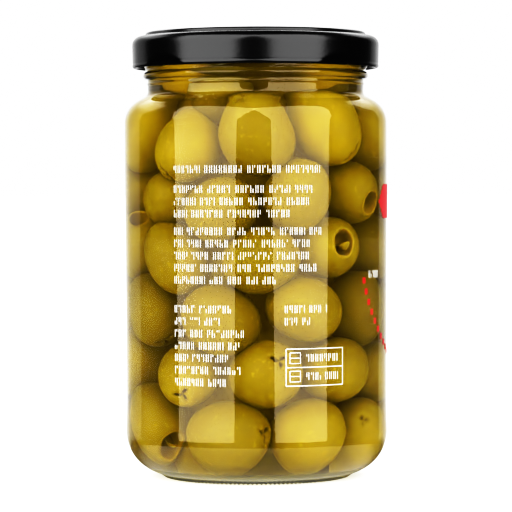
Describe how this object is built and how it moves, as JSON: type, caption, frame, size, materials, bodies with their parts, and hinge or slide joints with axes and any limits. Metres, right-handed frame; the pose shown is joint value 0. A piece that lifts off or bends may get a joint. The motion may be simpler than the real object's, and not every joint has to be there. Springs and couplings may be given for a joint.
{
  "type": "jar of olives",
  "caption": "Shut clear glass jar of pitted green olives in brine, with a glossy black twist-off lid",
  "frame": {"origin": "centre of the foot, on the surface that the jar stands on", "axes": "+Z is the jar's axis, from the foot to the lid. -Y points out of the side that the picture shows, +X is to that side's right."},
  "size_m": [0.0716, 0.0716, 0.1211],
  "materials": {
    "glass": "clear, smooth, colourless glass with a knurled foot ring",
    "lid_lacquer": "glossy black lacquered tinplate",
    "olive": "wet, smooth yellow-green olive skin with faint darker mottling",
    "brine": "clear, faintly yellow brine",
    "print": "white screen print on the glass",
    "print_red": "red screen print on the glass"
  },
  "bodies": {
    "root": {"glass_jar": "glass", "lid": "lid_lacquer", "olives": "olive"}
  },
  "joints": []
}
